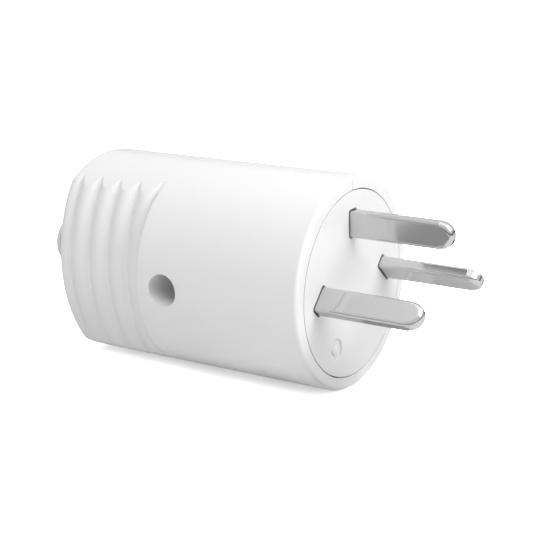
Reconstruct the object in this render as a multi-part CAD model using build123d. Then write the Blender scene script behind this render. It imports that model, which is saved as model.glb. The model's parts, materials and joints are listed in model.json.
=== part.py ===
from build123d import *
import math
import os

# A rewirable mains plug with three flat blades. Sizes are in millimetres.
# The origin is the centre of the socket face. X runs out of that face along the blades, Z up through
# the earth blade, and Y away from the cover, which is the half of the casing with the screw hole.

# Clearances
seat_gap = 0.10
slide_gap = 0.05
seam_gap = 0.1
rim_gap = 0.15
slot_gap = 0.2
core_gap = 0.3

# Casing, 32.5 across: it goes round the terminal blocks with room for insulation, and then the wall
body_length = 46.5
casing_room = 0.91
wall = 2.0
rear_wall = 2.5
front_edge = 0.6
rear_edge = 1.6

# Ribbed grip, a shallow saddle on each side of the casing
grip_length = 18.2
grip_recess = 3.4
grip_arc = 22.5
rib_pitch = 3.77
rib_height = 0.95
rib_root = 0.45
rear_rib = 2.49
rear_crest = 0.44
rear_drop = 1.1

# Pin carrier, the round moulding that closes the front of the casing
rim_width = 2.1
rim_lip = 2.0
flange_depth = 1.6
flange_step = 1.05
carrier_depth = 5.0
front_web = 3.2
barrier = 1.2
catch_depth = 1.1
catch_reach = 0.9

# Blades
blade_pitch = 19.0
earth_height = 9.3
blade_width = 4.0
blade_thickness = 2.0
blade_length = 16.5
blade_edge = 0.45
tip_run = 0.85
tip_drop = 0.6

# Terminal blocks on the backs of the blades
block_height = 7.0
block_width = 6.0
short_block = 7.8
long_block = 14.6
block_edge = 0.3
wire_width = 3.0
wire_height = 3.4
wire_depth = 6.2
thread_wall = 2.3

# Screws, all with the same metric thread
thread_radius = 1.5
thread_pitch = 0.5
slot_width = 0.7
slot_depth = 0.8
driver_room = 0.5

# Terminal screw and the plate under it
plate_thickness = 0.8
plate_length = 4.8
screw_stand = 0.7
rivet_radius = 1.1
rivet_height = 0.3
rivet_neck = 0.75

# Screw that holds the cover on
access_radius = 2.5
access_floor = 7.0
boss_wall = 1.55
boss_room = 0.5
washer_thickness = 0.5
cover_head_height = 1.6
cover_screw_reach = 4.4
nut_across_flats = 5.5
nut_height = 2.4
nut_depth = 0.4

# Cord clamp, halfway between the cover screw's boss and the cable sleeve
clamp_side_room = 3.55
clamp_bar_width = 6.0
clamp_bar_thickness = 2.2
clamp_bar_overhang = 3.2
clamp_bar_corner = 2.0
clamp_travel = 2.0
clamp_head_radius = 2.6
clamp_head_height = 1.6
clamp_screw_reach = 5.5
insert_radius = 2.1
insert_length = 5.0
post_radius = 3.2
post_top = 1.0
tooth_width = 1.0
tooth_height = 0.6
anvil_half_width = 4.2

# Cable sleeve
cable_radius = 3.3
sleeve_wall = 0.8
sleeve_length = 8.5
sleeve_neck = 4.5
sleeve_shoulder = 5.3
sleeve_flange_radius = 6.5
sleeve_flange = 1.5
sleeve_groove = 0.55
sleeve_groove_depth = 0.5
sleeve_end = 0.85

# Locating pegs in the seam
peg_radius = 1.0
peg_length = 2.0
peg_wall = 1.1
peg_spread = 5.15

# A plain round ejector mark on the socket face
mark_radius = 1.8
mark_depth = 0.15
mark_place = (-5.8, -8.8)

# How far a cut runs past the face that it opens
past = 1.0

# Worked out from the sizes above
blade_offset = blade_pitch / 2
inner_radius = math.hypot(blade_offset + block_height / 2, block_width / 2) + casing_room
body_radius = inner_radius + wall
carrier_radius = body_radius - rim_width
rim_radius = carrier_radius + rim_gap
flange_radius = carrier_radius + flange_step
flange_back = rim_lip + flange_depth
carrier_core = inner_radius - core_gap
grip_start = body_length - grip_length
grip_axis = grip_arc + grip_recess - body_radius
block_front = front_web + seat_gap
carrier_back = block_front + long_block + seat_gap + catch_depth
shank_radius = thread_radius - slide_gap
hole_radius = thread_radius + seat_gap
boss_radius = access_radius + boss_wall
cover_screw_x = -(carrier_back + boss_room + boss_radius)
sleeve_front = -(body_length - rear_wall) + slide_gap + sleeve_flange
clamp_x = (cover_screw_x - boss_radius + sleeve_front) / 2
clamp_half = inner_radius - clamp_side_room
clamp_bar_top = -(cable_radius + seat_gap + tooth_height + clamp_bar_thickness)
far = 2 * body_radius


def block(x0, x1, y0, y1, z0, z1):
    """A box between two values on each axis."""
    return Pos((x0 + x1) / 2, (y0 + y1) / 2, (z0 + z1) / 2) * Box(x1 - x0, y1 - y0, z1 - z0)


def rod_x(radius, x0, x1, y=0, z=0):
    """A cylinder along X."""
    return Pos((x0 + x1) / 2, y, z) * Rot(0, 90, 0) * Cylinder(radius, x1 - x0)


def rod_y(radius, y0, y1, x=0, z=0):
    """A cylinder along Y."""
    return Pos(x, (y0 + y1) / 2, z) * Rot(90, 0, 0) * Cylinder(radius, y1 - y0)


def rounded(face, corners, radius):
    """The flat face with the named corners rounded."""
    corners = [(*c, 0)[:3] for c in corners]
    picked = [v for v in face.vertices() if any(math.dist((v.X, v.Y, v.Z), c) < 0.01 for c in corners)]
    return fillet(picked, radius)


# Casing

def grip_form(side):
    """Everything inside the ribbed grip of one side, with side -1 for the cover."""
    root = grip_arc
    crest = grip_arc + rib_height
    clear = grip_axis + body_radius + past
    rear = -body_length
    full_ribs = math.floor((grip_length - rear_rib) / rib_pitch)
    roots = [rear + rear_rib + rib_pitch * k for k in range(full_ribs, -1, -1)]
    ribs = [
        ThreePointArc((a, root), ((a + b) / 2, crest), (b, root))
        for a, b in zip(roots, roots[1:])
    ]
    turn = (rear + rear_rib / 3, root + rear_crest)
    ribs.append(ThreePointArc((roots[-1], root), turn, (rear, root - rear_drop)))
    rest = Polyline(
        (rear, root - rear_drop), (rear, 0), (past, 0), (past, clear), (-grip_start, clear),
        (-grip_start, root), (roots[0], root),
    )
    face = make_face(ribs + rest.edges())
    face = rounded(face, [(x, root) for x in roots], rib_root)
    form = Pos(0, grip_axis, 0) * revolve(face, Axis.X)
    return form if side < 0 else mirror(form, Plane.XZ)


def outer_form():
    """The outside of the whole casing as one solid."""
    rear = -body_length
    barrel = make_face(Polyline((0, 0), (0, body_radius), (rear, body_radius), (rear, 0), close=True))
    barrel = rounded(barrel, [(0, body_radius)], front_edge)
    barrel = rounded(barrel, [(rear, body_radius)], rear_edge)
    return revolve(barrel, Axis.X) & grip_form(-1) & grip_form(1)


def cavity_form():
    """The hollow inside the casing, with the groove for the carrier's flange."""
    back = -(body_length - rear_wall)
    cavity = rod_x(inner_radius, back, -flange_back)
    grip_wall = grip_arc - wall
    for side in (-1, 1):
        keep = rod_x(grip_wall, back - past, past, y=-side * grip_axis)
        keep += block(-grip_start + wall, past, -far, far, -far, far)
        cavity &= keep
    cavity += rod_x(rim_radius, -rim_lip - past, past)
    cavity += rod_x(flange_radius + seat_gap, -flange_back - slide_gap, -rim_lip + slide_gap)
    cavity += rod_x(sleeve_neck + seat_gap, -body_length - past, back + past)
    return cavity


def half_casing():
    """The cover's half of the casing, solid and then hollow."""
    room = block(-body_length - past, past, -far, -seam_gap / 2, -far, far)
    solid = outer_form() & room
    return solid, solid - cavity_form()


def fittings_in(solid, fittings):
    """The part of each boss, post or rib that lies inside the casing's outline."""
    inside = fittings[0]
    for fitting in fittings[1:]:
        inside += fitting
    return inside & solid


def peg_spots():
    """Where the pegs stand in the seam, above and below the cord clamp."""
    height = inner_radius - peg_radius - peg_wall / 2
    return [(clamp_x + end * peg_spread, side * height) for end in (-1, 1) for side in (-1, 1)]


def cover_shell():
    solid, shell = half_casing()
    fittings = [rod_y(boss_radius, -far, 0, x=cover_screw_x)]
    for x, z in peg_spots():
        fittings.append(rod_y(peg_radius + peg_wall, -peg_length - wall, 0, x=x, z=z))
    shell += fittings_in(solid, fittings)
    shell -= rod_y(access_radius, -far, -access_floor, x=cover_screw_x)
    shell -= rod_y(hole_radius, -far, past, x=cover_screw_x)
    for x, z in peg_spots():
        shell -= rod_y(peg_radius + slide_gap, -peg_length - seat_gap, past, x=x, z=z)
    return shell


def clamp_spots():
    """Where the upper and lower screws of the cord clamp stand."""
    return [(clamp_x, side * (clamp_half - clamp_bar_overhang)) for side in (1, -1)]


def base_shell():
    solid, shell = [mirror(form, Plane.XZ) for form in half_casing()]
    fittings = [rod_y(boss_radius, 0, far, x=cover_screw_x)]
    for x, z in clamp_spots():
        fittings.append(rod_y(post_radius, post_top, far, x=x, z=z))
    for side in (-1, 1):
        x = clamp_x + side * (clamp_bar_width - tooth_width) / 2
        x0, x1 = x - tooth_width / 2, x + tooth_width / 2
        fittings.append(block(x0, x1, cable_radius + seat_gap, far, -anvil_half_width, anvil_half_width))
    for x, z in peg_spots():
        fittings.append(rod_y(peg_radius + peg_wall, 0, peg_length + wall, x=x, z=z))
    shell += fittings_in(solid, fittings)
    shell -= rod_y(hole_radius, -past, cover_screw_reach + thread_pitch, x=cover_screw_x)
    shell -= nut_form(seat_gap / 2, -past, nut_depth + nut_height + slide_gap)
    insert_hole = insert_radius + slide_gap / 2
    for x, z in clamp_spots():
        shell -= rod_y(insert_hole, post_top - past, post_top + insert_length + slide_gap, x=x, z=z)
        shell -= rod_y(hole_radius, post_top, clamp_screw_reach + clamp_travel + thread_pitch, x=x, z=z)
    for x, z in peg_spots():
        shell += rod_y(peg_radius, -peg_length, peg_length, x=x, z=z)
    return shell


# Pin carrier

def blade_places():
    """Name, centre (y, z), turn about X and block length of each blade."""
    return {
        "line": ((-blade_offset, 0), -45, short_block),
        "neutral": ((blade_offset, 0), 45, long_block),
        "earth": ((0, earth_height), 0, short_block),
    }


def pin_carrier():
    body = rod_x(carrier_radius, -rim_lip, 0)
    body += rod_x(flange_radius, -flange_back, -rim_lip)
    body += rod_x(carrier_core, -carrier_depth, -flange_back)
    half = block_width / 2 + seat_gap
    inner = blade_offset - block_height / 2 - seat_gap
    floor = -half - barrier
    shelf = earth_height - half - barrier
    backs = {name: -block_front - place[2] - seat_gap for name, place in blade_places().items()}
    walls = block(-carrier_back, -carrier_depth, -far, far, shelf, shelf + barrier)
    for side, name in ((-1, "line"), (1, "neutral")):
        back = backs[name] - catch_depth
        y0, y1 = sorted((side * inner, side * (inner - barrier)))
        walls += block(back, -carrier_depth, y0, y1, floor, shelf)
        y0, y1 = sorted((side * (inner - barrier), side * far))
        walls += block(back, -carrier_depth, y0, y1, floor, -half)
        y0, y1 = sorted((side * (inner - barrier), side * (inner + catch_reach)))
        walls += block(back, backs[name], y0, y1, -half, half)
    catch_top = shelf + barrier + catch_reach
    walls += block(backs["earth"] - catch_depth, backs["earth"], -half, half, shelf, catch_top)
    body += walls & rod_x(carrier_core, -carrier_back - past, 0)
    for name, ((y, z), turn, length) in blade_places().items():
        slot = RectangleRounded(blade_thickness + 2 * slot_gap, blade_width + 2 * slot_gap, blade_edge)
        slot = extrude(Plane.YZ * slot, front_web + past, both=True)
        body -= Pos(0, y, z) * Rot(turn, 0, 0) * slot
        tall, wide = block_height / 2 + seat_gap, block_width / 2 + seat_gap
        body -= block(-carrier_depth - length, -front_web, y - tall, y + tall, z - wide, z + wide) & rod_x(
            far, -carrier_depth - slide_gap, 0
        )
    access = backs["neutral"] + plate_length / 2 + driver_room + seat_gap
    body -= rod_y(thread_radius + driver_room, 0, inner + past, x=access)
    y, z = mark_place
    body -= rod_x(mark_radius, -mark_depth, past, y=y, z=z)
    return body


# Blades and their terminals

def blade_form():
    """One blade along X at the origin, with its broad direction along Z and a rounded tip."""
    root = -block_front - blade_edge
    half, radius = blade_thickness / 2, blade_width / 2
    centre = blade_length - radius
    bar = block(root, centre, -half, half, -radius, radius)
    bar = fillet(bar.edges().filter_by(Axis.X), blade_edge)
    shoulder = ThreePointArc(
        (radius - tip_run, half),
        (radius - tip_run / 3, half - tip_drop / 4),
        (radius, half - tip_drop),
    )
    rest = Polyline((radius, half - tip_drop), (radius, 0), (0, 0), (0, half), (radius - tip_run, half))
    quarter = revolve(make_face([shoulder] + rest.edges()), Axis.Y)
    tip = Pos(centre, 0, 0) * (quarter + mirror(quarter, Plane.XZ))
    return bar + (tip & block(centre, blade_length + past, -half, half, -radius - past, radius + past))


def screw_x(length):
    """Where the screw of a terminal block stands, near the back of the block."""
    return -block_front - length + plate_length / 2 + driver_room


def blade(name):
    """A blade in one piece with its terminal block."""
    (y, z), turn, length = blade_places()[name]
    solid = Pos(0, y, z) * Rot(turn, 0, 0) * blade_form()
    back = -block_front - length
    tall, wide = block_height / 2, block_width / 2
    terminal = block(back, -block_front, y - tall, y + tall, z - wide, z + wide)
    terminal = chamfer(terminal.edges().filter_by(Axis.X), block_edge)
    floor = y - tall + thread_wall
    half = wire_width / 2
    terminal -= block(back - past, back + wire_depth, floor, floor + wire_height, z - half, z + half)
    terminal -= rod_y(thread_radius, y - tall - past, floor + past, x=screw_x(length), z=z)
    return solid + terminal


def terminal_origin(name):
    """The centre of the screw's hole on the outer face of a terminal block."""
    (y, z), turn, length = blade_places()[name]
    return Pos(screw_x(length), y - block_height / 2, z)


def pressure_plate(name):
    top = thread_wall + seat_gap
    half = plate_length / 2
    side = wire_width / 2 - seat_gap
    plate = block(-half, half, top, top + plate_thickness, -side, side)
    plate -= rod_y(rivet_neck + slide_gap, 0, far)
    return terminal_origin(name) * plate


def slot_across(radius, y):
    """The driver's slot in a screw head whose outer face is at y."""
    return block(-slot_width / 2, slot_width / 2, y - past, y + slot_depth, -radius, radius)


def terminal_screw(name):
    shoulder = thread_wall + seat_gap - slide_gap
    under = thread_wall + seat_gap + plate_thickness + slide_gap
    screw = rod_y(shank_radius, -screw_stand, shoulder)
    screw = chamfer(screw.edges().sort_by(Axis.Y)[0], block_edge)
    screw -= slot_across(far, -screw_stand)
    screw += rod_y(rivet_neck, shoulder, under)
    screw += rod_y(rivet_radius, under, under + rivet_height)
    return terminal_origin(name) * screw


# Cover screw

def nut_form(gap, y0, y1):
    """A hexagon for the nut or for its pocket."""
    hexagon = RegularPolygon(nut_across_flats / 2 + gap, 6, major_radius=False)
    solid = extrude(Plane.XZ * hexagon, -(y1 - y0))
    return Pos(cover_screw_x, y0, 0) * solid


def assembly_nut():
    nut = nut_form(0, nut_depth, nut_depth + nut_height)
    return nut - rod_y(thread_radius, -past, far, x=cover_screw_x)


def assembly_washer():
    y = -access_floor - slide_gap
    washer = rod_y(access_radius - seat_gap, y - washer_thickness, y, x=cover_screw_x)
    return washer - rod_y(thread_radius, -far, far, x=cover_screw_x)


def assembly_screw():
    under = -access_floor - washer_thickness - 2 * slide_gap
    top = under - cover_head_height
    head_radius = access_radius - 2 * seat_gap
    head = rod_y(head_radius, top, under)
    head = chamfer(head.edges().sort_by(Axis.Y)[0], block_edge)
    head -= slot_across(far, top)
    screw = head + rod_y(shank_radius, under, cover_screw_reach)
    screw = chamfer(screw.edges().sort_by(Axis.Y)[-1], block_edge)
    return Pos(cover_screw_x, 0, 0) * screw


# Cord clamp

def cord_clamp_bar():
    top, bottom = clamp_bar_top, clamp_bar_top + clamp_bar_thickness
    x0, x1 = clamp_x - clamp_bar_width / 2, clamp_x + clamp_bar_width / 2
    bar = block(x0, x1, top, bottom, -clamp_half, clamp_half)
    bar = fillet(bar.edges().filter_by(Axis.Y), clamp_bar_corner)
    x0, x1 = clamp_x - tooth_width / 2, clamp_x + tooth_width / 2
    bar += block(x0, x1, top + seat_gap, bottom + tooth_height, -anvil_half_width, anvil_half_width)
    for x, z in clamp_spots():
        bar -= rod_y(hole_radius, -far, far, x=x, z=z)
    return bar


def cord_clamp_screw(spot):
    x, z = spot
    under = clamp_bar_top - slide_gap
    top = under - clamp_head_height
    head = rod_y(clamp_head_radius, top, under)
    head = fillet(head.edges().sort_by(Axis.Y)[0], clamp_head_height / 2)
    head -= slot_across(far, top)
    screw = head + rod_y(shank_radius, under, clamp_screw_reach)
    screw = chamfer(screw.edges().sort_by(Axis.Y)[-1], block_edge)
    return Pos(x, 0, z) * screw


def clamp_thread_inserts():
    inserts = []
    for x, z in clamp_spots():
        insert = rod_y(insert_radius, post_top, post_top + insert_length, x=x, z=z)
        inserts.append(insert - rod_y(thread_radius, -far, far, x=x, z=z))
    return Compound(children=inserts)


# Cable sleeve

def cable_sleeve():
    inside = sleeve_front - sleeve_flange
    outside = -body_length - slide_gap
    end = outside - sleeve_length
    tip = cable_radius + sleeve_wall
    groove = end + sleeve_end
    outline = Polyline(
        (sleeve_front, cable_radius), (sleeve_front, sleeve_flange_radius),
        (inside, sleeve_flange_radius), (inside, sleeve_neck), (outside, sleeve_neck),
        (outside, sleeve_shoulder), (groove + sleeve_groove, tip),
        (groove + sleeve_groove, tip - sleeve_groove_depth), (groove, tip - sleeve_groove_depth),
        (groove, tip), (end, tip), (end, cable_radius), close=True,
    )
    face = rounded(make_face(outline), [(end, tip), (outside, sleeve_shoulder)], sleeve_wall / 2)
    return revolve(face, Axis.X)


parts = {
    "base_shell": base_shell(),
    "cover_shell": cover_shell(),
    "pin_carrier": pin_carrier(),
    "assembly_nut": assembly_nut(),
    "assembly_washer": assembly_washer(),
    "assembly_screw": assembly_screw(),
    "cord_clamp_bar": cord_clamp_bar(),
    "clamp_thread_inserts": clamp_thread_inserts(),
    "cable_sleeve": cable_sleeve(),
}
for name in blade_places():
    parts[name + "_blade"] = blade(name)
    parts[name + "_pressure_plate"] = pressure_plate(name)
    parts[name + "_terminal_screw"] = terminal_screw(name)
for name, spot in zip(("upper", "lower"), clamp_spots()):
    parts["cord_clamp_screw_" + name] = cord_clamp_screw(spot)

os.makedirs("parts", exist_ok=True)
for name, solid in parts.items():
    export_step(solid, "parts/" + name + ".step")
    print(name, round(solid.volume, 1))
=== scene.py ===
import bpy
import bmesh
import json
import math
from mathutils import Matrix, Vector


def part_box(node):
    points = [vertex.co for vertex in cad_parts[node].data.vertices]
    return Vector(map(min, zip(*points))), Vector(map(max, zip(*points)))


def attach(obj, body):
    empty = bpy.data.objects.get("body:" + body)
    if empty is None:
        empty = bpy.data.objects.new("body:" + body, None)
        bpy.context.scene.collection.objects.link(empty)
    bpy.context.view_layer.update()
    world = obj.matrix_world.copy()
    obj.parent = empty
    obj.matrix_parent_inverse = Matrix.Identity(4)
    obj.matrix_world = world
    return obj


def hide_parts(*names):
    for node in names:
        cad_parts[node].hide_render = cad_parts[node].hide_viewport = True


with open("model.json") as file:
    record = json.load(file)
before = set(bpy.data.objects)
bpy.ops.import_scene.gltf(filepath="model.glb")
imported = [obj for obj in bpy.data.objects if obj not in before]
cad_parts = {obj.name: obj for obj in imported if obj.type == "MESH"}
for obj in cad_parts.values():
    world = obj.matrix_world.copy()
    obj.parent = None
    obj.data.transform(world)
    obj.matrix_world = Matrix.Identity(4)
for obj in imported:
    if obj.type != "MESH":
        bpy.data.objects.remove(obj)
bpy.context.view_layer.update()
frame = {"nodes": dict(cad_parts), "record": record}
nodes = frame["nodes"]
subparts = frame["record"]["subparts"]
scene = bpy.context.scene
mm = 0.001
print("frame loaded:", len(nodes), "nodes")


# Small helpers

def alongAxis(azimuth, elevation):
    # unit vector from the object towards a lamp or the camera, both angles in degrees
    a, e = math.radians(azimuth), math.radians(elevation)
    return Vector((math.sin(a) * math.cos(e), -math.cos(a) * math.cos(e), math.sin(e)))


def addObject(name, data):
    thing = bpy.data.objects.new(name, data)
    scene.collection.objects.link(thing)
    return thing


def meshObject(name, bm):
    # turn a bmesh into an object
    mesh = bpy.data.meshes.new(name)
    bm.to_mesh(mesh)
    bm.free()
    return addObject(name, mesh)


def turn(bm, axis, degrees, verts=None):
    matrix = Matrix.Rotation(math.radians(degrees), 3, axis)
    bmesh.ops.rotate(bm, verts=verts or bm.verts, cent=(0, 0, 0), matrix=matrix)


def move(bm, offset, verts=None):
    bmesh.ops.translate(bm, verts=verts or bm.verts, vec=offset)


# Shader helpers

mixSockets = {"RGBA": (6, 7, 2), "FLOAT": (2, 3, 0)}  # a Mix node's two inputs and its result


def greyOf(level):
    return (level, level, level, 1)


def addNode(tree, kind, values=None, **settings):
    # a node with its settings, and plain values for its inputs by name or number
    node = tree.nodes.new(kind)
    for key, value in settings.items():
        setattr(node, key, value)
    for key, value in (values or {}).items():
        node.inputs[key].default_value = value
    return node


def feed(tree, value, socket):
    # another node's output is linked to the socket, and anything else is its plain value
    if isinstance(value, bpy.types.NodeSocket):
        tree.links.new(value, socket)
    else:
        socket.default_value = value


def mixOf(tree, kind, mask, low, high):
    # low where the mask is 0 and high where it is 1
    first, second, result = mixSockets[kind]
    mix = addNode(tree, "ShaderNodeMix", data_type=kind)
    feed(tree, mask, mix.inputs[0])
    feed(tree, low, mix.inputs[first])
    feed(tree, high, mix.inputs[second])
    return mix.outputs[result]


def rampOf(tree, source, span, low, high, **settings):
    # a value that runs from low to high as the source runs over its span
    values = {"From Min": span[0], "From Max": span[1], "To Min": low, "To Max": high}
    ramp = addNode(tree, "ShaderNodeMapRange", values, **settings)
    tree.links.new(source, ramp.inputs["Value"])
    return ramp.outputs["Result"]


def noiseOf(tree, vector, values, size=None):
    # noise over the surface; where a socket gives its size in metres, the scale is one over that
    noise = addNode(tree, "ShaderNodeTexNoise", values)
    tree.links.new(vector, noise.inputs["Vector"])
    if size is not None:
        inverse = addNode(tree, "ShaderNodeMath", {0: 1}, operation="DIVIDE")
        tree.links.new(size, inverse.inputs[1])
        tree.links.new(inverse.outputs[0], noise.inputs["Scale"])
    return noise.outputs["Fac"]


# Shader node groups

noiseSet = {
    "grain": {"Detail": 3, "Roughness": 0.6},
    "blotch": {"Detail": 2},
    "line": {"Detail": 4},
    "smudge": {"Detail": 4, "Scale": 420},  # per metre
}
edgeSet = {
    "samples": 6,
    "lean": (0.99, 0.8),  # cosine of the shading's lean where an edge begins, and where it is full
}


def makeGroup(name, inputs, outputs):
    # a node group with its sockets, each by its label and kind
    group = bpy.data.node_groups.new(name, "ShaderNodeTree")
    for way, sockets in (("INPUT", inputs), ("OUTPUT", outputs)):
        for label, kind in sockets.items():
            group.interface.new_socket(name=label, in_out=way, socket_type="NodeSocket" + kind)
    return group, group.nodes.new("NodeGroupInput"), group.nodes.new("NodeGroupOutput")


def mouldGrainGroup():
    # fine spark texture and slow blotches of a moulded surface
    inputs = {"Vector": "Vector", "Grain": "Float", "Blotch": "Float"}
    group, inlet, outlet = makeGroup("mouldGrain", inputs, {"Height": "Float", "Shade": "Float"})
    place = inlet.outputs["Vector"]
    grain = noiseOf(group, place, noiseSet["grain"], inlet.outputs["Grain"])
    blotch = noiseOf(group, place, noiseSet["blotch"], inlet.outputs["Blotch"])
    group.links.new(grain, outlet.inputs["Height"])
    group.links.new(blotch, outlet.inputs["Shade"])
    return group


def drawnLinesGroup():
    # lines left by drawing and plating, along X, and smudges
    inputs = {"Vector": "Vector", "Line": "Float", "Stretch": "Float"}
    group, inlet, outlet = makeGroup("drawnLines", inputs, {"Height": "Float", "Shade": "Float"})
    link = group.links.new
    place = inlet.outputs["Vector"]
    squeeze = addNode(group, "ShaderNodeCombineXYZ", {1: 1, 2: 1})
    link(inlet.outputs["Stretch"], squeeze.inputs[0])
    squeezed = addNode(group, "ShaderNodeVectorMath", operation="MULTIPLY")
    link(place, squeezed.inputs[0])
    link(squeeze.outputs[0], squeezed.inputs[1])
    lines = noiseOf(group, squeezed.outputs[0], noiseSet["line"], inlet.outputs["Line"])
    link(lines, outlet.inputs["Height"])
    link(noiseOf(group, place, noiseSet["smudge"]), outlet.inputs["Shade"])
    return group


def softEdgeGroup():
    # rounds the shading of sharp edges, and finds them, so that they can be painted paler: a painted edge
    # highlight, and on the metals also polish
    group, inlet, outlet = makeGroup("softEdge", {"Radius": "Float"}, {"Normal": "Vector", "Edge": "Float"})
    link = group.links.new
    bevel = addNode(group, "ShaderNodeBevel", samples=edgeSet["samples"])
    link(inlet.outputs["Radius"], bevel.inputs["Radius"])
    lean = addNode(group, "ShaderNodeVectorMath", operation="DOT_PRODUCT")
    link(bevel.outputs["Normal"], lean.inputs[0])
    link(addNode(group, "ShaderNodeNewGeometry").outputs["Normal"], lean.inputs[1])
    link(bevel.outputs["Normal"], outlet.inputs["Normal"])
    link(rampOf(group, lean.outputs["Value"], edgeSet["lean"], 0, 1), outlet.inputs["Edge"])
    return group


mouldGrain = mouldGrainGroup()
drawnLines = drawnLinesGroup()
softEdge = softEdgeGroup()


# Materials

noiseSpan = (0.25, 0.75)  # the middle half of a noise, where nearly all of its values lie
relief = {"grain": 0.3, "line": 0.2}  # height of a fine relief, as a share of its size

looks = {
    # lengths in millimetres; a metal has lines, a plastic has grain; the edge colour is a painted edge
    # highlight along sharp edges, on the metals also polish
    "casing": {
        "colour": (0.86, 0.86, 0.86), "shade": (0.848, 0.848, 0.851), "edgeHighlightAndPolishColour": (0.88, 0.88, 0.88),
        "roughness": (0.3, 0.36), "grain": 0.16, "blotch": 7, "bump": 0.08, "edge": 0.14, "ior": 1.5,
    },
    "carrier": {
        "colour": (0.84, 0.84, 0.84), "shade": (0.828, 0.828, 0.832), "edgeHighlightAndPolishColour": (0.87, 0.87, 0.87),
        "roughness": (0.38, 0.46), "grain": 0.2, "blotch": 5, "bump": 0.14, "edge": 0.12, "ior": 1.5,
    },
    "clamp": {
        "colour": (0.79, 0.79, 0.78), "shade": (0.765, 0.765, 0.757), "edgeHighlightAndPolishColour": (0.82, 0.82, 0.81),
        "roughness": (0.48, 0.58), "grain": 0.2, "blotch": 4, "bump": 0.2, "edge": 0.1, "ior": 1.48,
    },
    "sleeve": {
        "colour": (0.77, 0.77, 0.765), "shade": (0.75, 0.75, 0.745), "edgeHighlightAndPolishColour": (0.8, 0.8, 0.795),
        "roughness": (0.5, 0.62), "grain": 0.24, "blotch": 4, "bump": 0.25, "edge": 0.12, "ior": 1.48,
    },
    "blade": {
        "colour": (0.585, 0.585, 0.585), "shade": (0.572, 0.572, 0.574), "edgeHighlightAndPolishColour": (0.68, 0.68, 0.68),
        "roughness": (0.08, 0.13), "line": 0.09, "stretch": 0.3, "bump": 0.1, "edge": 0.08,
    },
    "plate": {
        "colour": (0.64, 0.64, 0.635), "shade": (0.6, 0.6, 0.595), "edgeHighlightAndPolishColour": (0.72, 0.72, 0.72),
        "roughness": (0.26, 0.36), "line": 0.1, "stretch": 0.3, "bump": 0.12, "edge": 0.06,
    },
    "screw": {
        "colour": (0.6, 0.6, 0.61), "shade": (0.55, 0.55, 0.565), "edgeHighlightAndPolishColour": (0.7, 0.7, 0.71),
        "roughness": (0.22, 0.32), "line": 0.08, "stretch": 0.4, "bump": 0.1, "edge": 0.05,
    },
    "insert": {
        "colour": (0.75, 0.56, 0.28), "shade": (0.69, 0.51, 0.25), "edgeHighlightAndPolishColour": (0.86, 0.68, 0.38),
        "roughness": (0.22, 0.32), "line": 0.08, "stretch": 0.4, "bump": 0.1, "edge": 0.05,
    },
}


def newMaterial(name):
    material = bpy.data.materials.new(name)
    material.use_nodes = True
    return material, material.node_tree.nodes["Principled BSDF"]


def finishMaterial(name, look, group, sizes, height):
    # a colour between two shades, paler edges that are a painted edge highlight (on the metals also polish),
    # a range of roughness and a fine relief
    material, shader = newMaterial(name)
    tree = material.node_tree
    link = tree.links.new
    texture = addNode(tree, "ShaderNodeGroup", sizes, node_tree=group)
    link(addNode(tree, "ShaderNodeTexCoord").outputs["Object"], texture.inputs["Vector"])
    edges = addNode(tree, "ShaderNodeGroup", {"Radius": look["edge"] * mm}, node_tree=softEdge)
    shade = texture.outputs["Shade"]
    mask = rampOf(tree, shade, noiseSpan, 0, 1)
    base = mixOf(tree, "RGBA", mask, (*look["colour"], 1), (*look["shade"], 1))
    # paler along sharp edges: a painted edge highlight, and on the metals also polish
    colour = mixOf(tree, "RGBA", edges.outputs["Edge"], base, (*look["edgeHighlightAndPolishColour"], 1))
    link(colour, shader.inputs["Base Color"])
    link(rampOf(tree, shade, noiseSpan, *look["roughness"]), shader.inputs["Roughness"])
    bump = addNode(tree, "ShaderNodeBump", {"Strength": look["bump"], "Distance": height})
    link(texture.outputs["Height"], bump.inputs["Height"])
    link(edges.outputs["Normal"], bump.inputs["Normal"])
    link(bump.outputs["Normal"], shader.inputs["Normal"])
    return material, shader


def plasticMaterial(name, look):
    grain = look["grain"] * mm
    sizes = {"Grain": grain, "Blotch": look["blotch"] * mm}
    material, shader = finishMaterial(name, look, mouldGrain, sizes, grain * relief["grain"])
    shader.inputs["IOR"].default_value = look["ior"]
    return material


def metalMaterial(name, look):
    line = look["line"] * mm
    sizes = {"Line": line, "Stretch": look["stretch"]}
    material, shader = finishMaterial(name, look, drawnLines, sizes, line * relief["line"])
    shader.inputs["Metallic"].default_value = 1
    return material


finishes = {}
for slotName, look in looks.items():
    make = metalMaterial if "line" in look else plasticMaterial
    finishes[slotName] = make(slotName + "Finish", look)
for part in subparts:
    materials = nodes[part["node"]].data.materials
    materials.clear()
    materials.append(finishes[part["material_slot"]])
print("materials:", ", ".join(finishes))


# Detailed pieces. Each is modelled in millimetres along Z from its outer face, then turned to lie along Y.

bodies = frame["record"]["behaviour"]["bodies"]
bodyOf = {node: body for body, names in bodies.items() for node in names}
slotOf = {part["node"]: part["material_slot"] for part in subparts}
weld = 1e-4  # mm, corners nearer than this become one
past = 1  # mm that a cutter runs past the face that it opens
screwHole = 1.5  # mm, radius of each hole that takes a screw
screwMouth = 1.75  # mm, radius where a thread opens
crease = 35  # degrees; sharper edges are rounded, and what stays sharper is shaded crisp


def drawOutline(bm, corners):
    # joined corners of (radius, height), ready to be spun about Z
    verts = [bm.verts.new((radius, 0, height)) for radius, height in corners]
    return verts + [bm.edges.new(pair) for pair in zip(verts, verts[1:])]


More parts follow.
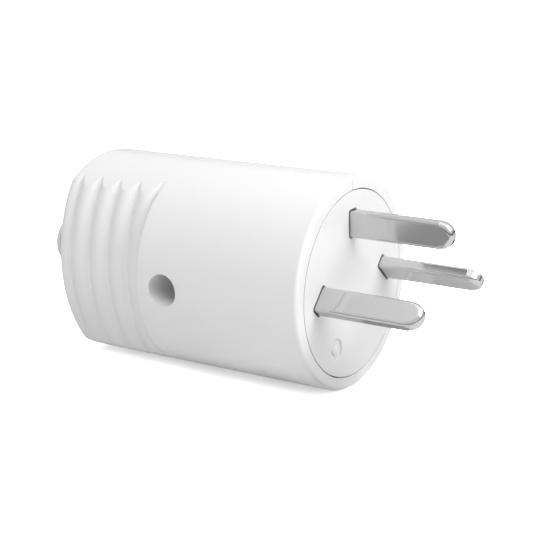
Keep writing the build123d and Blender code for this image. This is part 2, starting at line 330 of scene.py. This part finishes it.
def turned(outline, steps=48):
    # a closed solid from an outline of (radius, height) corners that starts and ends on the axis
    bm = bmesh.new()
    bmesh.ops.spin(bm, geom=drawOutline(bm, outline), cent=(0, 0, 0), axis=(0, 0, 1), angle=2 * math.pi,
                   steps=steps, use_merge=True)
    bmesh.ops.remove_doubles(bm, verts=bm.verts, dist=weld)
    bmesh.ops.recalc_face_normals(bm, faces=bm.faces)
    return bm


def rod(radius, low, high, steps=48):
    return turned([(0, low), (radius, low), (radius, high), (0, high)], steps)


def roundSharp(bm, width, angle=crease, segments=2):
    sharp = [edge for edge in bm.edges if edge.is_manifold and edge.calc_face_angle() > math.radians(angle)]
    bmesh.ops.bevel(bm, geom=sharp, offset=width, offset_type="OFFSET", affect="EDGES", segments=segments,
                    profile=0.5, material=-1, clamp_overlap=True)


def combine(first, second, operation):
    # two closed bmeshes joined, cut or trimmed by the exact solver
    pieces = [meshObject("combined", bm) for bm in (first, second)]
    modifier = pieces[0].modifiers.new("combine", "BOOLEAN")
    modifier.operation = operation
    modifier.solver = "EXACT"
    modifier.object = pieces[1]
    result = bmesh.new()
    result.from_object(pieces[0], bpy.context.evaluated_depsgraph_get())
    for piece in pieces:
        mesh = piece.data
        bpy.data.objects.remove(piece)
        bpy.data.meshes.remove(mesh)
    return result


def finishPiece(name, bm, body, slot, angle=crease):
    # a new piece with its finish, riding on a body
    for face in bm.faces:
        face.smooth = True
    piece = meshObject(name, bm)
    piece.data.materials.append(finishes[slot])
    piece.data.set_sharp_from_angle(angle=math.radians(angle))
    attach(piece, body)
    return piece


def replaceNode(name, bm, angle=crease):
    # the new piece takes the CAD node's body and finish
    words = name.split("_")
    pieceName = words[0] + "".join(word.capitalize() for word in words[1:])
    piece = finishPiece(pieceName, bm, bodyOf[name], slotOf[name], angle)
    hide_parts(name)


def seatPiece(bm, axis, degrees, seat):
    # from millimetres along Z to metres in place
    bmesh.ops.scale(bm, verts=bm.verts, vec=(mm, mm, mm))
    turn(bm, axis, degrees)
    move(bm, seat)


def placeOnNode(name, bm, angle=crease):
    low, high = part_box(name)
    seatPiece(bm, "X", -90, ((low[0] + high[0]) / 2, low[1], (low[2] + high[2]) / 2))
    replaceNode(name, bm, angle)


def spanOf(name):
    # size of a CAD node across and along the screw axis, in millimetres
    low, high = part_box(name)
    return round((high[0] - low[0]) / mm, 2), round((high[1] - low[1]) / mm, 2)


threadSet = {
    "pitch": 0.5,  # mm, as the joints' couplings have it
    "depth": 0.27,
    "crest": 0.06,
    "lead": 0.3,  # bevel at each end
    "over": 0.5,  # how far the rough bar and its trimming shape pass each other
    "steps": 24,  # round one turn
    "offset": 0.4,  # of a step, so that no corner lies in a plane where the bar is cut
    "spare": 2,  # turns more than the bar's length takes
    "touch": 1e-5,  # mm, how near counts as in that plane
}


def threadBar(radius, length):
    # one pitch of a V thread is spun up the axis, closed at both ends and trimmed to its length
    pitch, depth, crest, steps = (threadSet[key] for key in ("pitch", "depth", "crest", "steps"))
    lead, over = threadSet["lead"], threadSet["over"]
    low, high = (pitch - crest) / 2, (pitch + crest) / 2
    start = over + pitch * (1 + threadSet["offset"] / steps)
    corners = [(radius - depth, 0), (radius, low), (radius, high), (radius - depth, pitch)]
    turns = math.ceil((length + 2 * over) / pitch) + threadSet["spare"]
    bm = bmesh.new()
    outline = drawOutline(bm, [(r, z - start) for r, z in corners])
    bmesh.ops.spin(bm, geom=outline, cent=(0, 0, 0), axis=(0, 0, 1), dvec=(0, 0, pitch / steps),
                   angle=2 * math.pi * turns, steps=steps * turns)
    bmesh.ops.remove_doubles(bm, verts=bm.verts, dist=weld)
    for height, up in ((-over, -1), (length + over, 1)):
        everything = bm.verts[:] + bm.edges[:] + bm.faces[:]
        cut = bmesh.ops.bisect_plane(bm, geom=everything, dist=threadSet["touch"], plane_co=(0, 0, height),
                                     plane_no=(0, 0, up), clear_outer=True)
        rim = [part for part in cut["geom_cut"] if isinstance(part, bmesh.types.BMEdge)]
        bmesh.ops.contextual_create(bm, geom=rim)
    bmesh.ops.recalc_face_normals(bm, faces=bm.faces)
    wide = radius + over
    sleeve = turned([(0, 0), (radius - lead, 0), (wide, lead + over), (wide, length - lead - over),
                     (radius - lead, length), (0, length)], steps)
    return combine(bm, sleeve, "INTERSECT")


slotSet = {
    "width": 0.7,  # mm
    "depth": 0.8,
    "rounding": 0.05,
    "sharp": 60,  # degrees; sharper edges are rounded
}


def cutSlot(bm, radius):
    # the driver's slot across the outer face, along X here and along Z on the plug
    cutter = bmesh.new()
    bmesh.ops.create_cube(cutter, size=2)
    bmesh.ops.scale(cutter, verts=cutter.verts, vec=(slotSet["width"] / 2, radius + past, slotSet["depth"]))
    bm = combine(bm, cutter, "DIFFERENCE")
    roundSharp(bm, slotSet["rounding"], slotSet["sharp"])
    return bm


terminalScrewSet = {
    "plain": 0.95,  # mm of plain round end, where the slot is
    "rounding": 0.1,
    "seat": 0.05,  # how far the thread starts inside it
    "shoulder": 3.05,  # from the slotted end to the rivet's neck
    "sunk": 0.2,  # how far the neck starts inside the thread
    "neck": 0.75,
    "rivetRadius": 1.1,
    "rivetHeight": 0.3,
    "rivetRounding": 0.08,
}


def terminalScrew(name):
    across, length = spanOf(name)
    made = terminalScrewSet
    radius, plain, seat, shoulder = across / 2, made["plain"], made["seat"], made["shoulder"]
    end = rod(radius, 0, plain)
    roundSharp(end, made["rounding"], segments=3)
    thread = threadBar(radius - seat, shoulder - plain + seat)
    move(thread, (0, 0, plain - seat))
    bm = combine(cutSlot(end, radius), thread, "UNION")
    sunk, under = shoulder - made["sunk"], length - made["rivetHeight"]
    rivet = turned([(0, sunk), (made["neck"], sunk), (made["neck"], under),
                    (made["rivetRadius"], under), (made["rivetRadius"], length), (0, length)])
    roundSharp(rivet, made["rivetRounding"])
    placeOnNode(name, combine(bm, rivet, "UNION"))


headSet = {
    "height": 1.6,  # mm
    "shank": 1.45,
    "sunk": 0.2,  # how far the shank starts inside the head
    "steps": 64,
    "profile": [(0.55, 0), (0.78, 0.22), (0.94, 0.6), (1, 1)],  # shares of a crowned head's radius and crown
    "forms": {
        # crown and rounding, in millimetres
        "assembly_screw": (0, 0.18),
        "cord_clamp_screw_upper": (0.75, 0.12),
        "cord_clamp_screw_lower": (0.75, 0.12),
    },
}


def headedScrew(name, crown, rounding):
    across, length = spanOf(name)
    radius, height, steps = across / 2, headSet["height"], headSet["steps"]
    if crown:
        rounded = [(radius * out, crown * up) for out, up in headSet["profile"]]
        head = turned([(0, 0), *rounded, (radius, height), (0, height)], steps)
    else:
        head = rod(radius, 0, height, steps)
    roundSharp(head, rounding, segments=3)
    head = cutSlot(head, radius)
    shank = threadBar(headSet["shank"], length - height + headSet["sunk"])
    move(shank, (0, 0, height - headSet["sunk"]))
    placeOnNode(name, combine(head, shank, "UNION"))


for terminal in ("line", "neutral", "earth"):
    terminalScrew(terminal + "_terminal_screw")
for screwName, form in headSet["forms"].items():
    headedScrew(screwName, *form)
print("screws threaded")


nutSet = {
    "corners": 0.32,  # mm, depth of the turned bevel at the corners
    "flats": 0.97,  # where that bevel starts, as a share of the way out to the flats
    "clear": 0.01,  # mm that the turned shape stands out past the corners
    "steps": 72,
    "crease": 25,  # degrees; sharper edges are shaded crisp
}


def hexNut(name):
    across, height = spanOf(name)
    radius, bevel = across / 2, nutSet["corners"]
    bm = bmesh.new()
    bmesh.ops.create_cone(bm, segments=6, radius1=radius, radius2=radius, depth=height, cap_ends=True)
    turn(bm, "Z", 30)
    move(bm, (0, 0, height / 2))
    flats = radius * math.cos(math.pi / 6) * nutSet["flats"]
    wide = radius + nutSet["clear"]
    shape = turned([(0, 0), (flats, 0), (wide, bevel), (wide, height - bevel), (flats, height), (0, height)],
                   nutSet["steps"])
    bm = combine(bm, shape, "INTERSECT")
    drill = turned([(0, -past), (screwMouth + past, -past), (screwHole, screwMouth - screwHole),
                    (screwHole, height - screwMouth + screwHole), (screwMouth + past, height + past),
                    (0, height + past)])
    placeOnNode(name, combine(bm, drill, "DIFFERENCE"), nutSet["crease"])


washerSet = {
    "rounding": 0.1,  # mm
    "steps": 64,
}


def plainWasher(name):
    across, height = spanOf(name)
    bm = rod(across / 2, 0, height, washerSet["steps"])
    roundSharp(bm, washerSet["rounding"])
    placeOnNode(name, combine(bm, rod(screwHole, -past, height + past), "DIFFERENCE"))


insertSet = {
    "teeth": 40,
    "gullet": 0.93,  # share of the radius left between the teeth
    "room": 0.02,  # mm from the core up to the gullets
    "twist": 16,  # degrees over a knurled band
    "band": 1.7,  # mm
    "collar": 0.45,
    "rounding": 0.12,
    "steps": 64,
}


def vertsIn(geometry):
    return [part for part in geometry if isinstance(part, bmesh.types.BMVert)]


def knurlBand(radius, start, twist):
    # a star-shaped disc drawn up the axis with a twist
    bm = bmesh.new()
    teeth, gullet = insertSet["teeth"], insertSet["gullet"]
    ring = bmesh.ops.create_circle(bm, segments=2 * teeth, radius=radius, cap_ends=True)["verts"]
    bmesh.ops.scale(bm, verts=ring[::2], vec=(gullet, gullet, 1))
    move(bm, (0, 0, start))
    drawn = vertsIn(bmesh.ops.extrude_face_region(bm, geom=bm.faces[:])["geom"])
    move(bm, (0, 0, insertSet["band"]), drawn)
    turn(bm, "Z", twist, drawn)
    bmesh.ops.recalc_face_normals(bm, faces=bm.faces)
    return bm


def knurledInserts(name):
    # both brass inserts of the cord clamp are one piece, as they are one CAD node
    low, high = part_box(name)
    across, length = spanOf(name)
    radius, collar, twist = across / 2, insertSet["collar"], insertSet["twist"]
    bm = rod(radius * insertSet["gullet"] - insertSet["room"], 0, length, insertSet["steps"])
    roundSharp(bm, insertSet["rounding"])
    for start, angle in ((collar, twist), (length - collar - insertSet["band"], -twist)):
        bm = combine(bm, knurlBand(radius, start, angle), "UNION")
    drill = turned([(0, -past), (screwMouth + past, -past), (screwHole, screwMouth - screwHole),
                    (screwHole, length + past), (0, length + past)])
    bm = combine(bm, drill, "DIFFERENCE")
    apart = (high[2] - low[2]) / mm - 2 * radius
    move(bm, (0, -apart / 2, 0))
    second = bmesh.ops.duplicate(bm, geom=bm.verts[:] + bm.edges[:] + bm.faces[:])["geom"]
    move(bm, (0, apart, 0), vertsIn(second))
    placeOnNode(name, bm)


softSet = {
    "rounding": {  # mm
        "line_pressure_plate": 0.07,
        "neutral_pressure_plate": 0.07,
        "earth_pressure_plate": 0.07,
        "cord_clamp_bar": 0.12,
    },
    "weld": 0.001,  # mm, corners nearer than this become one
    "flat": 1,  # degrees; flatter edges are dissolved
    "sharp": 50,  # degrees; sharper edges are rounded
    "crease": 30,  # degrees; sharper edges are shaded crisp
}


def softenNode(name, width):
    # a copy of the CAD node's mesh is merged and its edges are rounded
    bm = bmesh.new()
    bm.from_mesh(nodes[name].data)
    bmesh.ops.remove_doubles(bm, verts=bm.verts, dist=softSet["weld"] * mm)
    bmesh.ops.dissolve_limit(bm, angle_limit=math.radians(softSet["flat"]), verts=bm.verts, edges=bm.edges)
    bmesh.ops.recalc_face_normals(bm, faces=bm.faces)
    roundSharp(bm, width * mm, softSet["sharp"])
    replaceNode(name, bm, softSet["crease"])


markSet = {
    "place": (-5.8, -8.8),  # mm across and up from the plug's axis, in the round mark on the face
    "radius": 0.75,
    "back": 0.15,
    "rise": 0.1,
    "rounding": 0.04,
    "steps": 40,
}


def ejectorDot():
    # the small raised disc that an ejector pin leaves in the middle of its round mark
    bm = rod(markSet["radius"], 0, markSet["rise"], markSet["steps"])
    roundSharp(bm, markSet["rounding"])
    across, up = markSet["place"]
    seatPiece(bm, "Y", 90, (-markSet["back"] * mm, across * mm, up * mm))
    finishPiece("ejectorDot", bm, "base", "carrier")


hexNut("assembly_nut")
plainWasher("assembly_washer")
knurledInserts("clamp_thread_inserts")
for softNode, width in softSet["rounding"].items():
    softenNode(softNode, width)
ejectorDot()
print("nut, washer, inserts, plates, clamp bar and mark finished")


# Floor, cards, sky, lamps and camera

studio = {
    "floor": 1400,  # mm square
    "floorDrop": 16.3,  # mm from the plug's axis down to the floor
    "floorGrey": 0.8,
    "floorGlow": 0.07,  # a little light of its own
    "shownFloor": (3.5, 0.05),  # how bright the camera alone sees the floor: grey, and glow in its shadows
    "skyLight": (0.37, 0.19),  # strength at the horizon and overhead
    "skySpan": (-0.1, 0.8),  # sine of the elevation where the first ends and the second begins
    # the sky as metal shows it: (sine of the elevation, strength)
    "skyMirrored": [(0, 0.2), (0.1, 0.25), (0.24, 0.88), (0.8, 0.87), (0.93, 1.5), (1, 1.6)],
    "cardRoughness": 0.9,
    "cards": {
        # mm along X and Y, centre, turn in degrees, grey, and whether gloss or diffuse light meets it
        "frontCard": ((96.5, 95), (11.75, -102.5, -15.8), 0, 0.36, "gloss"),
        "underCard": ((24, 12), (-1, -5, -15.8), 0, 0.38, "gloss"),
        "sideCard": ((16, 12), (9, 15, -15.8), 0, 0.68, "gloss"),
        "backCard": ((110, 90), (-25, 78, -15.8), 0, 0.04, "gloss"),
        "highCard": ((22, 9), (-16.5, -8.2, 61), -4.5, 0.08, "gloss"),
        "faceCard": ((12, 20), (7.5, -9, -15.9), 0, 0.05, "light"),
    },
    "lamps": [
        # name, azimuth, elevation, distance, size in metres, power in watts, and whether metal shows it
        ("keyLamp", 10, 65, 0.75, 0.5, 3.05, False),
        ("rightLamp", 130, 45, 0.75, 0.5, 2.2, True),
        ("nearLamp", 88, 45, 0.16, 0.1, 0.11, True),
    ],
}


def flatPanel(name, size, centre, degrees=0):
    # a level rectangle, in millimetres
    bm = bmesh.new()
    bmesh.ops.create_grid(bm, x_segments=1, y_segments=1, size=mm / 2)
    bmesh.ops.scale(bm, verts=bm.verts, vec=(*size, 1))
    turn(bm, "Z", degrees)
    move(bm, Vector(centre) * mm)
    return meshObject(name, bm)


def makeFloor():
    side, (shown, shownGlow) = studio["floor"], studio["shownFloor"]
    floor = flatPanel("floor", (side, side), (0, 0, -studio["floorDrop"]))
    material, shader = newMaterial("paleFloor")
    tree = material.node_tree
    link = tree.links.new
    seen = addNode(tree, "ShaderNodeLightPath").outputs["Is Camera Ray"]
    matt = addNode(tree, "ShaderNodeBsdfDiffuse")
    link(mixOf(tree, "RGBA", seen, greyOf(studio["floorGrey"]), greyOf(shown)), matt.inputs["Color"])
    glow = addNode(tree, "ShaderNodeEmission")
    link(mixOf(tree, "FLOAT", seen, studio["floorGlow"], shownGlow), glow.inputs["Strength"])
    both = addNode(tree, "ShaderNodeAddShader")
    link(matt.outputs[0], both.inputs[0])
    link(glow.outputs[0], both.inputs[1])
    link(both.outputs[0], tree.nodes["Material Output"].inputs["Surface"])
    tree.nodes.remove(shader)
    floor.data.materials.append(material)


def makeCards():
    # the cards give the metal its darker reflections and keep the face's foot darker than its top
    for name, (size, centre, degrees, grey, use) in studio["cards"].items():
        card = flatPanel(name, size, centre, degrees)
        material, shader = newMaterial(name)
        shader.inputs["Base Color"].default_value = greyOf(grey)
        shader.inputs["Roughness"].default_value = studio["cardRoughness"]
        card.data.materials.append(material)
        card.visible_camera = False
        card.visible_glossy = use == "gloss"
        card.visible_diffuse = use == "light"
        card.visible_shadow = False


def skyBands(tree, height, bands):
    # the strength at each named height, blended between them
    brightest = max(strength for sine, strength in bands)
    ramp = addNode(tree, "ShaderNodeValToRGB")
    stops = ramp.color_ramp.elements
    while len(stops) < len(bands):
        stops.new(1)
    for stop, (sine, strength) in zip(stops, bands):
        stop.position = sine
        stop.color = greyOf(strength / brightest)
    tree.links.new(height, ramp.inputs[0])
    scaled = addNode(tree, "ShaderNodeMath", {1: brightest}, operation="MULTIPLY")
    tree.links.new(ramp.outputs["Color"], scaled.inputs[0])
    return scaled.outputs[0]


def makeWorld():
    # white to the camera, banded to gloss, and a soft sky to everything else
    world = bpy.data.worlds.new("studio")
    world.use_nodes = True
    scene.world = world
    tree = world.node_tree
    path = addNode(tree, "ShaderNodeLightPath")
    direction = addNode(tree, "ShaderNodeSeparateXYZ")
    tree.links.new(addNode(tree, "ShaderNodeTexCoord").outputs["Generated"], direction.inputs[0])
    height = direction.outputs["Z"]
    smooth = {"interpolation_type": "SMOOTHSTEP"}
    light = rampOf(tree, height, studio["skySpan"], *studio["skyLight"], **smooth)
    mirrored = skyBands(tree, height, studio["skyMirrored"])
    strength = mixOf(tree, "FLOAT", path.outputs["Is Glossy Ray"], light, mirrored)
    strength = mixOf(tree, "FLOAT", path.outputs["Is Camera Ray"], strength, 1)
    background = tree.nodes["Background"]
    background.inputs["Color"].default_value = greyOf(1)
    tree.links.new(strength, background.inputs["Strength"])


def makeLamps():
    for name, azimuth, elevation, distance, size, power, mirrored in studio["lamps"]:
        lamp = bpy.data.lights.new(name, "AREA")
        lamp.shape = "DISK"
        lamp.size = size
        lamp.energy = power
        holder = addObject(name, lamp)
        towards = alongAxis(azimuth, elevation)
        holder.visible_glossy = mirrored
        holder.location = towards * distance
        holder.rotation_mode = "QUATERNION"
        holder.rotation_quaternion = towards.to_track_quat("Z", "Y")


cameraSet = {
    "azimuth": 33.64,
    "elevation": 16.97,
    "roll": -2.0,
    "distance": 211.4,  # mm
    "aim": (-10.76, -6.31, 2.33),  # mm
    "lens": 94.6,
    "sensor": 36,
    "clip": (0.01, 10),  # metres
}


def makeCamera():
    data = bpy.data.cameras.new("photoCamera")
    data.lens = cameraSet["lens"]
    data.sensor_width = cameraSet["sensor"]
    data.clip_start, data.clip_end = cameraSet["clip"]
    camera = addObject("photoCamera", data)
    back = alongAxis(cameraSet["azimuth"], cameraSet["elevation"])
    roll = Matrix.Rotation(math.radians(cameraSet["roll"]), 3, back)
    camera.rotation_mode = "QUATERNION"
    camera.rotation_quaternion = (roll @ back.to_track_quat("Z", "Y").to_matrix()).to_quaternion()
    camera.location = Vector(cameraSet["aim"]) * mm + back * cameraSet["distance"] * mm
    scene.camera = camera


makeFloor()
makeCards()
makeWorld()
makeLamps()
makeCamera()
scene.view_settings.view_transform = "Standard"
print("floor, lamps and camera placed")
